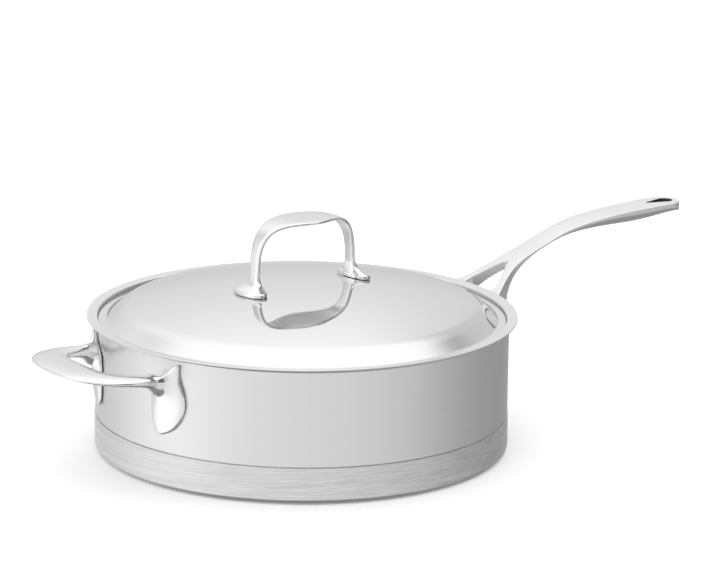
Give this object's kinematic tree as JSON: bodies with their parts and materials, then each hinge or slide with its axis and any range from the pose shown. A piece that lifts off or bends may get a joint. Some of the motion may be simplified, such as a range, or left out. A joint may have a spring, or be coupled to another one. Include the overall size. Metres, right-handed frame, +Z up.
{
  "type": "saute pan with lid",
  "caption": "Round straight-sided steel saute pan with a long forked handle, a loop helper handle opposite and an inset domed lid with a loop handle.",
  "frame": {"origin": "centre of the flat resting face under the base", "axes": "+X out along the long handle, -X out through the helper handle, +Z up through the lid handle, +Y to the left seen from the long handle's root looking out along it"},
  "size_m": [0.5165, 0.2912, 0.1587],
  "materials": {
    "satin_body": "stainless steel, satin wall with a bright drawn rim",
    "brushed_base": "stainless steel, coarser brushing round the base band",
    "heat_core": "plain aluminium, sealed inside the base",
    "weld_metal": "dull stainless weld metal",
    "polished_casting": "cast stainless steel, mirror polished",
    "matt_casting": "cast stainless steel, fine matt blasted",
    "polished_lid": "pressed stainless steel sheet, mirror polished"
  },
  "bodies": {
    "pan": {"pan_shell": "satin_body", "base_cap": "brushed_base", "core_disc": "heat_core", "seam_weld": "weld_metal", "helper_handle": "polished_casting", "helper_handle_welds": "weld_metal", "long_handle": "matt_casting", "long_handle_welds": "weld_metal"},
    "lid": {"lid_shell": "polished_lid", "lid_handle": "polished_casting", "lid_handle_welds": "weld_metal"}
  },
  "joints": [
    {"name": "lid_lift", "type": "slide", "parent": "pan", "child": "lid", "axis": [0, 0, 1], "range_m": [0, 0.12]}
  ]
}
